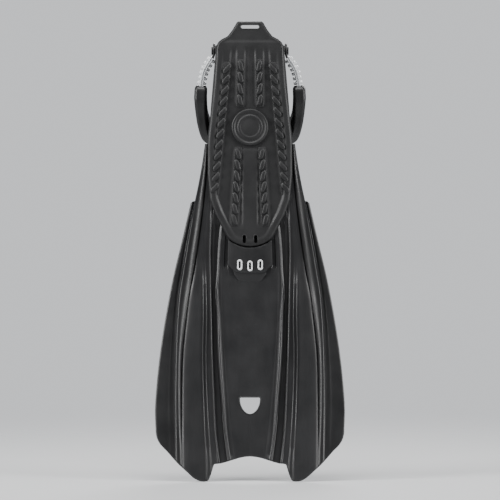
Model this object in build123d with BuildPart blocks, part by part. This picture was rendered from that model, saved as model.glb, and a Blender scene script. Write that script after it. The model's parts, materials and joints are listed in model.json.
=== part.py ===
from build123d import *
import os
from math import atan2, cos, radians, sin

# Open-heel diving fin with an adjustable rear strap, in millimetres.
#
# The fin stands on the tips of its two blade lobes, with the heel up.  +X is to the right when the
# sole is seen, +Z runs from the blade tips to the heel, and the sole faces -Y, so the instep and the
# foot pocket are on the +Y side.  The origin is the middle of the hanging slot in the heel tab.
# Inside this file heights are counted from the lobe tips and depths from the sole face, and the
# working planes place them in that frame.

os.makedirs("parts", exist_ok=True)

# ---- driving dimensions ----------------------------------------------------------------------
HEEL_Z = 579  # height of the heel tab's top edge over the lobe tips
SLOT_Z = 572  # height of the hanging slot
SLOT_L = 23
SLOT_W = 4.5
SOLE_T = 5  # thickness of the sole plate
TOE_Z = 293  # lower end of the sole plate, under the toes
HINGE_Z = 246  # line across the fin where the blade bends
HINGE_Y = 2.5  # middle of the web thickness, over the sole face
BLADE_ANGLE = 8  # degrees that the blade leans from the sole plane, towards the sole side
FLEX_R = 3  # radius of the round rubber strip at the bending line
FLEX_HALF = 66  # half length of that strip
FLEX_FIT = 0.05  # running clearance around it
WEB_T = 5  # thickness of the blade root web
WEB_SLOT_DEPTH = 3
ROOT_TOP_Z = 370  # upper end of the web, between the toe box and the rails
PANEL_T = 4.6  # thickness of the centre panel
SIDE_T = 4.0  # thickness of the side panels
CHANNEL_T = 2.4  # thickness of the soft flex channels
FLAP_T = 3.0  # thickness of the outer edge flaps
SEAM = 0.2  # gap between neighbouring moulded strips
RAIL_GAP = 6  # gap in the deep rails at the bending line, for the bend
FLAP_GAP = 3  # gap in the edge flaps at the bending line
RAIL_SOLE = 4  # rail height on the sole side, at the bending line
RAIL_INSTEP = 11  # rail height on the instep side, at the bending line
RAIL_TIP_SOLE = 2.6  # the same heights at the blade tips
RAIL_TIP_INSTEP = 3
POCKET_WALL = 3.5
POCKET_FLOOR = 2
INSOLE_T = 1.5
RIM_FRONT = (96, 452)  # instep end of the opening rim, as (y, z)
RIM_HEEL = (32, 549)  # heel end of the opening rim
POST_Y = 20  # axis of the two strap posts, which runs along X
POST_Z = 543
POST_R = 4
POST_FIT = 0.05  # running clearance of a turning piece on its post or pin
STRAP_ANGLE = 8  # degrees between the ribbed sections of the hanging strap and the sole plane
STRAP_HALF = 10  # half width of the strap ends and of the ribbed sections
PAD_START = 44  # distance of the heel pad's ends from the post axis
PAD_MIDDLE = (101, 427)  # middle of the heel pad, over the instep, as (y, z)
PAD_ANGLE = 66  # degrees between the pad's middle and the sole plane
TAB_REACH = 10.5  # distance of the pull tab's pin from the middle of the pad
TAB_PIN_R = 1.5
TAB_T = 3.5
RIB_COUNT = 6
RIB_PITCH = 6.4
RIB_FIRST = 2.4  # from the start of the band to the middle of its first rib
RIB_T = 4.2
TREAD_BASE = 0.8
TREAD_H = 2.4
TREAD_HALF = 4.5  # half width of the strip under a row of strands
STRAND_L = 11
STRAND_W = 4.2
BADGE_Z = 445
BADGE_R = 23
BADGE_T = 1.4
PLATE_T = 1.8  # thickness of the power plate
DRAIN_X = 7.2  # the two drain holes under the toes
DRAIN_Z = 303.4
DRAIN_L = 10
DRAIN_W = 4
PIN_FIT = 0.02  # clearance of posts and pins in their seats
BEYOND = 90  # a cut this long passes right through any piece

# ---- working planes --------------------------------------------------------------------------
# All of them start at the middle of the lobe tips' line, in the plane of the sole face.  On the
# sole plane a sketch is drawn in (x, height) and grows towards the sole side for positive
# amounts.  On the side plane it is drawn in (depth, height) and grows along X, and the level
# plane lies across the fin.  The blade plane is the sole plane of the leaning blade, with its
# zero height at the bending line.
START = Vector(0, -SOLE_T / 2, -SLOT_Z)
SOLE = Plane(origin=START, x_dir=(1, 0, 0), z_dir=(0, -1, 0))
SIDE = Plane(origin=START, x_dir=(0, 1, 0), z_dir=(1, 0, 0))
LEVEL = Plane(origin=START, x_dir=(1, 0, 0), z_dir=(0, 0, 1))
WEB = SOLE.offset(-HINGE_Y)
LEAN = radians(BLADE_ANGLE)
BEND = (HINGE_Y, HINGE_Z)
BLADE = Plane(origin=SIDE.from_local_coords(BEND), x_dir=(1, 0, 0), z_dir=(0, -cos(LEAN), sin(LEAN)))
SWING = radians(STRAP_ANGLE)
POST = (POST_Y, POST_Z)
STRAP = Plane(origin=SIDE.from_local_coords(POST), x_dir=(1, 0, 0), z_dir=(0, cos(SWING), sin(SWING)))
BLADE_CROSS = Plane(origin=BLADE.origin, x_dir=(1, 0, 0), z_dir=BLADE.y_dir)
TILT = radians(PAD_ANGLE)
PAD = Plane(origin=SIDE.from_local_coords(PAD_MIDDLE), x_dir=(1, 0, 0), z_dir=(0, cos(TILT), sin(TILT)))
TAB = Plane(origin=PAD.from_local_coords((0, TAB_REACH, 0)), x_dir=(1, 0, 0), z_dir=PAD.y_dir)
TAB_PIN = (PAD_MIDDLE[0] + TAB_REACH * sin(TILT), PAD_MIDDLE[1] - TAB_REACH * cos(TILT))


def on_blade(points):
    """Turns (x, z) points of the standing fin into the blade plane's own coordinates."""
    return [(x, (z - HINGE_Z) / cos(LEAN)) for x, z in points]


# ---- long lines of the fin, as (x, z), from the top down -------------------------------------
CHANNEL_IN = [(42.6, 246), (38.6, 163), (33.5, 100), (26, 34), (25.2, 24.5)]
CHANNEL_OUT = [(50.2, 246), (48, 163), (45.5, 100), (39.5, 34), (38.2, 22)]
GROOVE = [(74, 246), (81, 201), (85.6, 163), (87, 100), (86, 30)]
RAIL_OUT = [(89, 246), (94, 201), (97, 163), (98.5, 100), (97.5, 38)]
EDGE = [(98.6, 246), (105.6, 211), (112.6, 166), (117.6, 120), (119.5, 90), (118.3, 60)]
RAIL_TOP_IN = [(55, 425), (55.5, 385), (58, 353), (63, 309), (74, 246)]
RAIL_TOP_OUT = [(57, 425), (64.5, 385), (70, 351), (79.5, 300), (89, 246)]
EDGE_TOP = [(74.6, 351), (86, 302), (98.6, 246)]
SOLE_SIDE = [
    (45, 515),
    (50, 469),
    (54, 425),
    (54.5, 385),
    (51, 353),
    (44, 334),
    (35, 317),
    (29.5, 306.5),
]
SOLE_SIDE += [(24, 300), (13, 295), (0, TOE_Z)]


def strip(plane, inner, outer, thickness):
    """A long strip between two lines, closed by straight ends, that grows from a plane."""
    with BuildPart() as bar:
        with BuildSketch(plane):
            with BuildLine():
                Spline(*inner)
                Line(inner[-1], outer[-1])
                Spline(*outer)
                Line(outer[0], inner[0])
            make_face()
        extrude(amount=thickness)
    return bar.part


def grown(points, gap):
    """The same line, moved away from the middle of the foot by a gap."""
    turns = [atan2(z - 385, x) for x, z in points]
    return [(x + gap * cos(turn), z + gap * sin(turn)) for (x, z), turn in zip(points, turns)]


def inset(points, gap):
    """The same line, moved towards the middle of the fin by a gap."""
    return [(x - gap, z) for x, z in points]


# ---- foot: sole plate with the heel tab ------------------------------------------------------
with BuildPart() as sole_plate:
    with BuildSketch(SOLE.offset(-SOLE_T)):
        with BuildLine():
            Polyline((0, HEEL_Z), (17, HEEL_Z), (30, 557), (39, 553), (44, 545), (45, 515))
            Spline(*SOLE_SIDE)
            Line((0, TOE_Z), (0, HEEL_Z))
        make_face()
        mirror(about=Plane.YZ)
    extrude(amount=SOLE_T)
    with BuildSketch(SOLE):
        with Locations((0, SLOT_Z)):
            SlotOverall(SLOT_L, SLOT_W)
        with Locations((DRAIN_X, DRAIN_Z), (-DRAIN_X, DRAIN_Z)):
            SlotOverall(DRAIN_L, DRAIN_W, rotation=90)
    extrude(amount=-SOLE_T, mode=Mode.SUBTRACT)

# ---- foot: rubber treads on the sole ---------------------------------------------------------
TREAD_ROWS = {  # middles of the first and last strand, number of strands, slant in degrees
    "tread_inner_heel": ((11.5, 523), (12.5, 473), 4, 62),
    "tread_inner_toe": ((14.5, 412), (20, 326), 7, 62),
    "tread_outer": ((28.5, 520), (45, 366), 12, -62),
}


def tread(start, end, strands, slant):
    """A row of slanted rope-like strands on a thin strip; a positive slant leans them outwards."""
    (x0, z0), (x1, z1) = start, end
    with BuildPart() as row:
        with BuildSketch(SOLE):
            with BuildLine():
                Polyline(
                    (x0 - TREAD_HALF, z0 + 6),
                    (x0 + TREAD_HALF, z0 + 6),
                    (x1 + TREAD_HALF, z1 - 6),
                    (x1 - TREAD_HALF, z1 - 6),
                    close=True,
                )
            make_face()
        extrude(amount=TREAD_BASE)
        with BuildSketch(SOLE.offset(TREAD_BASE)):
            for i in range(strands):
                share = i / (strands - 1)
                with Locations((x0 + share * (x1 - x0), z0 + share * (z1 - z0))):
                    SlotOverall(STRAND_L, STRAND_W, rotation=slant)
        extrude(amount=TREAD_H - TREAD_BASE)
    return row.part


for name, (start, end, strands, slant) in TREAD_ROWS.items():
    right_row = tread(start, end, strands, slant)
    left_row = mirror(right_row, about=Plane.YZ)
    right_row.label = name + "_right"
    left_row.label = name + "_left"
    export_step(right_row, "parts/" + name + "_right.step")
    export_step(left_row, "parts/" + name + "_left.step")

# ---- foot: round badge with plain rings ------------------------------------------------------
with BuildPart() as sole_badge:
    with BuildSketch(SOLE):
        with Locations((0, BADGE_Z)):
            Circle(BADGE_R)
    extrude(amount=BADGE_T)
    with BuildSketch(SOLE.offset(BADGE_T)):
        with Locations((0, BADGE_Z)):
            Circle(BADGE_R)
            Circle(BADGE_R - 4, mode=Mode.SUBTRACT)
            Circle(BADGE_R - 8)
            Circle(BADGE_R - 11, mode=Mode.SUBTRACT)
    extrude(amount=0.8)

# ---- foot: blade root web between the toe box and the rails ----------------------------------
with BuildPart() as blade_root:
    with BuildSketch(WEB.offset(-WEB_T / 2)):
        with BuildLine():
            Spline(*inset(RAIL_TOP_IN, SEAM))
            Polyline((RAIL_TOP_IN[-1][0] - SEAM, HINGE_Z), (0, HINGE_Z), (0, 425), (55 - SEAM, 425))
        make_face()
        # leaves out the toe box, whose outline is the side of the sole plate
        with BuildLine():
            side_line = Spline(*grown(SOLE_SIDE, 2 * SEAM))
            Polyline(side_line @ 1, (0, (side_line @ 0).Y), side_line @ 0)
        make_face(mode=Mode.SUBTRACT)
        with Locations((0, ROOT_TOP_Z)):
            Rectangle(2 * BEYOND, 2 * BEYOND, align=(Align.CENTER, Align.MIN), mode=Mode.SUBTRACT)
        mirror(about=Plane.YZ)
    extrude(amount=WEB_T)
    # four blind slots beside the toe box lighten the web and let it bend
    with BuildSketch(WEB.offset(WEB_T / 2)):
        for side in (1, -1):
            with Locations((side * 42.5, 283)):
                SlotOverall(64, 5.5, rotation=90)
            with Locations((side * 31.5, 285)):
                SlotOverall(36, 4.5, rotation=90)
    extrude(amount=-WEB_SLOT_DEPTH, mode=Mode.SUBTRACT)
    # hollow end that fits around the flex strip
    with BuildSketch(SIDE):
        with Locations(BEND):
            Circle(FLEX_R + FLEX_FIT)
    extrude(amount=BEYOND, both=True, mode=Mode.SUBTRACT)

# ---- foot: power plate below the toes, with seats for the vent rings -------------------------
RINGS = {"vent_ring_left": (-13, 271), "vent_ring_middle": (0, 269.5), "vent_ring_right": (13, 271)}
RING_L = 14
RING_W = 6.6
RING_WALL = 2.3
with BuildPart() as power_plate:
    with BuildSketch(SOLE):
        with BuildLine():
            top_line = Spline(*grown([(27, 303), *SOLE_SIDE[-3:]], 2 * SEAM))
            Polyline(top_line @ 1, (0, 260), (20, 261), (28, 272), top_line @ 0)
        make_face()
        mirror(about=Plane.YZ)
        with Locations(*RINGS.values()):
            SlotOverall(RING_L + 0.1, RING_W + 0.1, rotation=90, mode=Mode.SUBTRACT)
    extrude(amount=PLATE_T)


def vent_ring(centre):
    """An oval ring that stands a little proud of the power plate."""
    with BuildPart() as ring:
        with BuildSketch(SOLE):
            with Locations(centre):
                SlotOverall(RING_L, RING_W, rotation=90)
                SlotOverall(
                    RING_L - 2 * RING_WALL, RING_W - 2 * RING_WALL, rotation=90, mode=Mode.SUBTRACT
                )
        extrude(amount=PLATE_T + 0.8)
    return ring.part


for name, centre in RINGS.items():
    ring_piece = vent_ring(centre)
    ring_piece.label = name
    export_step(ring_piece, "parts/" + name + ".step")

# ---- foot: pocket ----------------------------------------------------------------------------
# (height of the section along Z, half width, depth over the sole plate, height of the straight side)
POCKET_SECTIONS = [
    (293, 21, 18, 6),
    (312, 32, 27, 9),
    (332, 41, 37, 13),
    (370, 49, 56, 22),
    (415, 50.5, 76, 34),
    (460, 49, 94, 46),
    (505, 45.5, 104, 56),
    (549, 41.6, 108, 60),
]


def pocket_section(height, half, depth, straight, floor):
    """One cross-section: a flat floor, straight sides and an arched top."""
    with BuildSketch(LEVEL.offset(height)) as section:
        with BuildLine():
            Polyline((-half, floor + straight), (-half, floor), (half, floor), (half, floor + straight))
            ThreePointArc((half, floor + straight), (0, floor + depth), (-half, floor + straight))
        make_face()
    return section.sketch


with BuildPart() as foot_pocket:
    for height, half, depth, straight in POCKET_SECTIONS:
        add(pocket_section(height, half, depth, straight, SOLE_T))
    loft()
    for height, half, depth, straight in POCKET_SECTIONS:
        inner_height = height + 6 if height == POCKET_SECTIONS[0][0] else height
        inner_height = height + 1 if height == POCKET_SECTIONS[-1][0] else inner_height
        cut_depth = depth - POCKET_FLOOR - POCKET_WALL
        add(pocket_section(inner_height, half - POCKET_WALL, cut_depth, straight - 3, SOLE_T + POCKET_FLOOR))
    loft(mode=Mode.SUBTRACT)
    # sloping opening from the instep down to the heel
    with BuildSketch(SIDE):
        with BuildLine():
            Polyline(RIM_FRONT, RIM_HEEL, (RIM_HEEL[0], 570), (140, 570), (140, RIM_FRONT[1]), close=True)
        make_face()
    extrude(amount=BEYOND, both=True, mode=Mode.SUBTRACT)
    # the drain holes go on through the floor
    with BuildSketch(SOLE.offset(-SOLE_T)):
        with Locations((DRAIN_X, DRAIN_Z), (-DRAIN_X, DRAIN_Z)):
            SlotOverall(DRAIN_L, DRAIN_W, rotation=90)
    extrude(amount=-2 * POCKET_FLOOR, mode=Mode.SUBTRACT)
    # seats of the two strap posts
    with BuildSketch(SIDE):
        with Locations(POST):
            Circle(POST_R + PIN_FIT)
    extrude(amount=BEYOND, both=True, mode=Mode.SUBTRACT)

INSOLE_SIDE = [
    (36.5, 548),
    (40, 505),
    (44, 460),
    (45.4, 415),
    (43.4, 370),
    (34.4, 330),
    (19, 317),
    (0, 315),
]
with BuildPart() as insole:
    with BuildSketch(SOLE.offset(-(SOLE_T + POCKET_FLOOR + INSOLE_T))):
        with BuildLine():
            Polyline((0, 315), (0, 548), (36.5, 548))
            Spline(*INSOLE_SIDE)
        make_face()
        mirror(about=Plane.YZ)
    extrude(amount=INSOLE_T)

# ---- foot: strap posts and their caps --------------------------------------------------------
POST_IN = 36  # inner face of the post flange
CAP_X = 47.6  # inner face of the cap
CAP_T = 1.6  # thickness of the flange and of the cap
with BuildPart() as strap_post_right:
    with BuildSketch(SIDE.offset(POST_IN)):
        with Locations(POST):
            Circle(POST_R + 2)
    extrude(amount=CAP_T)
    with BuildSketch(SIDE.offset(POST_IN + CAP_T)):
        with Locations(POST):
            Circle(POST_R)
    extrude(amount=CAP_X - POST_IN - CAP_T)

with BuildPart() as post_cap_right:
    with BuildSketch(SIDE.offset(CAP_X)):
        with Locations(POST):
            Circle(POST_R + 1.2)
    extrude(amount=CAP_T)
    fillet(post_cap_right.faces().sort_by(Axis.X)[-1].edges(), 0.8)

# ---- flex strip: the round rubber line that the blade bends about ----------------------------
with BuildPart() as flex_strip:
    with BuildSketch(SIDE):
        with Locations(BEND):
            Circle(FLEX_R)
    extrude(amount=FLEX_HALF, both=True)

# ---- rails and flaps beside the foot ---------------------------------------------------------
with BuildPart() as rail_root_right:
    add(strip(WEB.offset(-RAIL_INSTEP), RAIL_TOP_IN, RAIL_TOP_OUT, RAIL_INSTEP + RAIL_SOLE))
    split(bisect_by=LEVEL.offset(HINGE_Z + RAIL_GAP / 2), keep=Keep.TOP)

with BuildPart() as flap_root_right:
    add(strip(WEB.offset(-FLAP_T / 2), inset(RAIL_TOP_OUT[2:], -0.5), EDGE_TOP, FLAP_T))
    split(bisect_by=LEVEL.offset(HINGE_Z + FLAP_GAP / 2), keep=Keep.TOP)

# ---- blade -----------------------------------------------------------------------------------
with BuildPart() as blade_panel:
    with BuildSketch(BLADE.offset(-PANEL_T / 2)):
        with BuildLine():
            Spline(*on_blade(inset(CHANNEL_IN, SEAM)))
            Spline(*on_blade([(25, 24.5), (14, 29), (0, 31)]))
            Polyline(*on_blade([(0, 31), (0, HINGE_Z), (42.4, HINGE_Z)]))
        make_face()
        mirror(about=Plane.YZ)
    extrude(amount=PANEL_T)
    # long ribs along both edges of the panel, on the sole side
    with BuildSketch(BLADE.offset(PANEL_T / 2)):
        with BuildLine():
            Spline(*on_blade([(42.2, 236), (38.2, 163), (33.1, 100), (25.6, 34)]))
            Line(*on_blade([(25.6, 34), (22.6, 34)]))
            Spline(*on_blade([(39.2, 236), (35.2, 163), (30.1, 100), (22.6, 34)]))
            Line(*on_blade([(42.2, 236), (39.2, 236)]))
        make_face()
        mirror(about=Plane.YZ)
    extrude(amount=2)
    # water port, flat above and round below
    with BuildSketch(BLADE.offset(PANEL_T)):
        with BuildLine():
            Polyline(*on_blade([(-12.6, 101), (-12.6, 104), (12.6, 104), (12.6, 101)]))
            Spline(*on_blade([(12.6, 101), (8, 88), (0, 83.5), (-8, 88), (-12.6, 101)]))
        make_face()
    extrude(amount=-2 * PANEL_T, mode=Mode.SUBTRACT)
    with BuildSketch(SIDE):
        with Locations(BEND):
            Circle(FLEX_R + FLEX_FIT)
    extrude(amount=BEYOND, both=True, mode=Mode.SUBTRACT)

with BuildPart() as flex_channel_right:
    add(strip(BLADE.offset(-CHANNEL_T / 2), on_blade(CHANNEL_IN), on_blade(CHANNEL_OUT), CHANNEL_T))
    with BuildSketch(SIDE):
        with Locations(BEND):
            Circle(FLEX_R + FLEX_FIT)
    extrude(amount=BEYOND, both=True, mode=Mode.SUBTRACT)

SIDE_IN = inset(CHANNEL_OUT, -SEAM)
with BuildPart() as side_panel_right:
    with BuildSketch(BLADE.offset(-SIDE_T / 2)):
        with BuildLine():
            Spline(*on_blade(SIDE_IN))
            Polyline(*on_blade([SIDE_IN[-1], (45.5, 22), (50.5, 4)]))
            Spline(*on_blade([(50.5, 4), (54, 0.6), (62, 0.3), (73.4, 6)]))
            Polyline(*on_blade([(73.4, 6), (81.6, 14), (85.6, 18), (85.6, 30)]))
            Spline(*on_blade(inset(GROOVE, 0.4)))
            Line(*on_blade([(73.6, 246), SIDE_IN[0]]))
        make_face()
    extrude(amount=SIDE_T)
    with BuildSketch(SIDE):
        with Locations(BEND):
            Circle(FLEX_R + FLEX_FIT)
    extrude(amount=BEYOND, both=True, mode=Mode.SUBTRACT)


def rail_face(height, tip_height):
    """The plane of the rail's outer face, as it runs down from the bending line to the tip."""
    top = BLADE.from_local_coords(Vector(0, 0, height))
    tip = BLADE.from_local_coords(Vector(0, -HINGE_Z, tip_height))
    return Plane(origin=top, x_dir=(1, 0, 0), z_dir=(tip - top).cross(Vector(1, 0, 0)))


with BuildPart() as side_rail_right:
    add(strip(BLADE.offset(-RAIL_INSTEP), on_blade(GROOVE), on_blade(RAIL_OUT), RAIL_INSTEP + RAIL_SOLE))
    split(bisect_by=BLADE_CROSS.offset(-RAIL_GAP / 2), keep=Keep.BOTTOM)
    split(bisect_by=rail_face(-RAIL_INSTEP, -RAIL_TIP_INSTEP), keep=Keep.TOP)
    split(bisect_by=rail_face(RAIL_SOLE, RAIL_TIP_SOLE), keep=Keep.BOTTOM)

with BuildPart() as edge_flap_right:
    with BuildSketch(BLADE.offset(-FLAP_T / 2)):
        with BuildLine():
            Spline(*on_blade(inset(RAIL_OUT, -0.4)))
            Polyline(*on_blade([(97.9, 38), (97.9, 37.4), (86, 29.2), (86, 18.7), (111, 44)]))
            ThreePointArc(*on_blade([(111, 44), (116.2, 51), (118.3, 60)]))
            Spline(*on_blade(EDGE))
            Line(*on_blade([(98.6, 246), (89.4, 246)]))
        make_face()
    extrude(amount=FLAP_T)
    split(bisect_by=BLADE_CROSS.offset(-FLAP_GAP / 2), keep=Keep.BOTTOM)

# ---- strap ends, which turn on the posts -----------------------------------------------------
# In the strap plane a point is (x, reach): the reach is zero on the post axis and grows towards
# the heel pad.
END_T = 3.4
END_X = 45.7  # middle of the strap end, between the pocket wall and the cap
BAND_T = 4.8  # thickness of the ribbed band without its ribs
RIB_LENGTH = 11.8
BAND_ARC = [(48.8, 9.8), (57.2, 24), (61.7, 42.8)]

with BuildPart() as strap_end_right:
    with BuildSketch(STRAP.offset(-STRAP_HALF)):
        with BuildLine() as end_line:
            Polyline((END_X, -9), (END_X, 6), (48.4, 9.4))
        trace(end_line.line, END_T)
    extrude(amount=2 * STRAP_HALF)
    fillet(strap_end_right.edges().filter_by(Axis.X), STRAP_HALF - 1.5)
    with BuildSketch(SIDE.offset(POST_IN)):
        with Locations(POST):
            Circle(POST_R + POST_FIT)
    extrude(amount=BEYOND, mode=Mode.SUBTRACT)

with BuildPart() as strap_ribs_right:
    with BuildSketch(STRAP.offset(-STRAP_HALF + 1)):
        with BuildLine() as band_line:
            arc = ThreePointArc(*BAND_ARC)
        trace(band_line.line, BAND_T)
        for i in range(RIB_COUNT):
            reach = RIB_FIRST + RIB_PITCH * i
            with Locations(arc.position_at(reach / arc.length)):
                Rectangle(RIB_T, RIB_LENGTH, rotation=arc.tangent_angle_at(reach / arc.length))
    extrude(amount=2 * (STRAP_HALF - 1))

# ---- heel pad with the lugs of its pull tab ----------------------------------------------------
# The pad is a stiff loop.  Its two ends carry on the ribbed sections, and its middle lies over the
# instep.  Seen from the side its middle line is a Bezier curve in (y, z).
PAD_ENDS = (POST_Y + PAD_START * sin(SWING), POST_Z - PAD_START * cos(SWING))
PAD_CURVE = [
    PAD_ENDS,
    (PAD_ENDS[0] + 38 * sin(SWING), PAD_ENDS[1] - 38 * cos(SWING)),
    (PAD_MIDDLE[0] - 45 * sin(TILT), PAD_MIDDLE[1] + 45 * cos(TILT)),
    PAD_MIDDLE,
]
# (share of that curve, distance from the middle of the fin, thickness, width)
PAD_STATIONS = [
    (0.0, 62.2, 15.5, 24),
    (0.09, 62.8, 16.4, 30),
    (0.2, 62.8, 16, 34),
    (0.38, 61.5, 14.6, 34),
    (0.57, 58.6, 13.8, 34),
    (0.74, 49.5, 13.4, 34),
    (0.89, 34.5, 13.2, 34),
    (0.97, 18, 13.4, 34),
    (1.0, 0, 14, 34),
]
LUG_X = 14  # middle of each lug
LUG_T = 4


def pad_plane(before, station, after):
    """The plane across the pad at a station: x is the pad's thickness and y its width."""
    spot = SIDE.from_local_coords(side_curve @ station[0])
    run = SIDE.from_local_coords(side_curve @ station[0] + side_curve % station[0]) - spot
    ahead = run * ((after[0] - before[0]) * side_curve.length) + Vector(after[1] - before[1], 0, 0)
    width_dir = Vector(1, 0, 0).cross(run)
    return Plane(origin=spot + Vector(station[1], 0, 0), x_dir=width_dir.cross(ahead), z_dir=ahead)


side_curve = Bezier(*PAD_CURVE)
loop = PAD_STATIONS + [(share, -x, thick, width) for share, x, thick, width in PAD_STATIONS[-2::-1]]
with BuildPart() as heel_pad:
    for before, station, after in zip([loop[0], *loop], loop, [*loop[1:], loop[-1]]):
        with BuildSketch(pad_plane(before, station, after)):
            RectangleRounded(station[2], station[3], 4)
    loft()
    with BuildSketch(PAD.offset(-3.5)):
        with Locations((LUG_X, TAB_REACH - 2), (-LUG_X, TAB_REACH - 2)):
            Rectangle(LUG_T, 10)
    extrude(amount=7)
    with BuildSketch(SIDE):
        with Locations(TAB_PIN):
            Circle(TAB_PIN_R + PIN_FIT)
    extrude(amount=BEYOND, both=True, mode=Mode.SUBTRACT)

with BuildPart() as tab_pin:
    with BuildSketch(SIDE):
        with Locations(TAB_PIN):
            Circle(TAB_PIN_R)
    extrude(amount=LUG_X + LUG_T / 2, both=True)

with BuildPart() as pull_tab:
    with BuildSketch(SIDE):
        with Locations(TAB_PIN):
            Circle(3)
    extrude(amount=LUG_X - LUG_T / 2 - 0.3, both=True)
    with BuildSketch(TAB.offset(-TAB_T / 2)):
        with Locations((0, 17)):
            RectangleRounded(23, 32, 8)
            RectangleRounded(12, 18, 5.5, mode=Mode.SUBTRACT)
        with Locations((0, 5)):
            Rectangle(23, 8)
    extrude(amount=TAB_T)
    with BuildSketch(SIDE):
        with Locations(TAB_PIN):
            Circle(TAB_PIN_R + POST_FIT)
    extrude(amount=BEYOND, both=True, mode=Mode.SUBTRACT)

# ---- the finished pieces ---------------------------------------------------------------------
MIDDLE = {
    "sole_plate": sole_plate,
    "sole_badge": sole_badge,
    "blade_root": blade_root,
    "power_plate": power_plate,
    "foot_pocket": foot_pocket,
    "insole": insole,
    "flex_strip": flex_strip,
    "blade_panel": blade_panel,
    "heel_pad": heel_pad,
    "tab_pin": tab_pin,
    "pull_tab": pull_tab,
}
RIGHT_HAND = {
    "strap_post": strap_post_right,
    "post_cap": post_cap_right,
    "rail_root": rail_root_right,
    "flap_root": flap_root_right,
    "flex_channel": flex_channel_right,
    "side_panel": side_panel_right,
    "side_rail": side_rail_right,
    "edge_flap": edge_flap_right,
    "strap_end": strap_end_right,
    "strap_ribs": strap_ribs_right,
}
for name, piece in MIDDLE.items():
    piece.part.label = name
    export_step(piece.part, "parts/" + name + ".step")
for name, piece in RIGHT_HAND.items():
    left_part = mirror(piece.part, about=Plane.YZ)
    left_part.label = name + "_left"
    piece.part.label = name + "_right"
    export_step(left_part, "parts/" + name + "_left.step")
    export_step(piece.part, "parts/" + name + "_right.step")
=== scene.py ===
import json
from math import cos, pi, radians, sin

import bmesh
import bpy
import numpy as np
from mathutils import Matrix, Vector


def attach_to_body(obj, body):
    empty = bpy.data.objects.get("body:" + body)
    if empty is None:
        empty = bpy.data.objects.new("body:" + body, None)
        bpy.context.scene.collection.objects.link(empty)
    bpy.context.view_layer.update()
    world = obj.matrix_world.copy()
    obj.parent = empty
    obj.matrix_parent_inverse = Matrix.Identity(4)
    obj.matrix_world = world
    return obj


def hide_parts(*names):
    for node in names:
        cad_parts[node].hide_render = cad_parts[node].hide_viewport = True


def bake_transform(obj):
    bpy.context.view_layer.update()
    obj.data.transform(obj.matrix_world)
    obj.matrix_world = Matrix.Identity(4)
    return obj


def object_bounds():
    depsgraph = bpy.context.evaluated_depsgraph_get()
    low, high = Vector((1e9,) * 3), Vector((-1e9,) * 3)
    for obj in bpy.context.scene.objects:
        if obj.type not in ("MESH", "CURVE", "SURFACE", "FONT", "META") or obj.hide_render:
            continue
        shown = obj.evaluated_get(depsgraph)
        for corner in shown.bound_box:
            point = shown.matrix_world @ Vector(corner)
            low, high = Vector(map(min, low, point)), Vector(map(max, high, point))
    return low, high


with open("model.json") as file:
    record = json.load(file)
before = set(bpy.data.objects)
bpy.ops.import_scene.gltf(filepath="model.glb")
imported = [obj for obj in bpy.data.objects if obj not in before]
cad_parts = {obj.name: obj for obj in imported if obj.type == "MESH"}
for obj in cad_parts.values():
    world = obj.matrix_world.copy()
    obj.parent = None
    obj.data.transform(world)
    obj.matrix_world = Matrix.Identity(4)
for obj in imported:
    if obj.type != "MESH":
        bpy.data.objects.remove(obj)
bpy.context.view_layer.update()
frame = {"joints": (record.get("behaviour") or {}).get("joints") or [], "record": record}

# An open-heel swim fin, heel up, with its sole facing -Y.  Shapes are in millimetres, with heights counted
# from the blade's tips and depths from the sole plane.  START moves them into the row's frame.
MM = 0.001
JOINTS = {joint["name"]: joint for joint in frame["joints"]}
SLOTS = {part["node"]: part["material_slot"] for part in frame["record"]["subparts"]}
BODIES = {node: body for body, nodes in frame["record"]["behaviour"]["bodies"].items() for node in nodes}
HINGE_Y, HINGE_Z = 2.5, 246
START = np.array(JOINTS["blade_flex"]["pos_m"]) / MM - (0, HINGE_Y, HINGE_Z)
SIDES = {"right": 1, "left": -1}

LEAN, LEAN_SPAN = radians(8), 40  # the blade leans to the sole side, and turns over this length
BACK = 2.3  # depth of the blade's back behind its middle plane
TIP_TO_HEEL = 579
TOE_Z, HEEL_Z = 293, 549.0  # ends of the sole, without the heel tab
BADGE_Z, HANG_SLOT_Z = 445, 572
POCKET_LOW, POCKET_FLOOR = 290.8, 5  # height of the pocket's nose, and depth of its outer floor
POCKET_WALL = 3.4
STRAND_LENGTH, STRAND_WIDTH = 15.6, 6.4
RIB_COUNT, RIB_FIRST, RIB_PITCH = 6, 4.6, 6.35  # the strap's ribs along its ribbed sections
CENTRE_Z = (START[2] + 289.7) * MM  # the middle of the whole fin


def joint_place(name):
    return np.array(JOINTS[name]["pos_m"]) / MM - START


POST = joint_place("strap_swing")
PIN = joint_place("tab_fold")
REACH_DIR = np.array(JOINTS["strap_stretch"]["axis"], float)
WIDTH_DIR = np.array([0, -REACH_DIR[2], REACH_DIR[1]])

# ---- materials


def fill(tree, node, sockets):
    """Gives each socket a value, or a link from another node."""
    for key, item in sockets.items():
        if isinstance(item, bpy.types.NodeSocket):
            tree.links.new(item, node.inputs[key])
        else:
            node.inputs[key].default_value = item


def shader(tree, kind, sockets=None, **settings):
    """A new shader node, with its settings and its sockets."""
    node = tree.nodes.new("ShaderNode" + kind)
    for key, item in settings.items():
        setattr(node, key, item)
    fill(tree, node, sockets or {})
    return node


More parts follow.
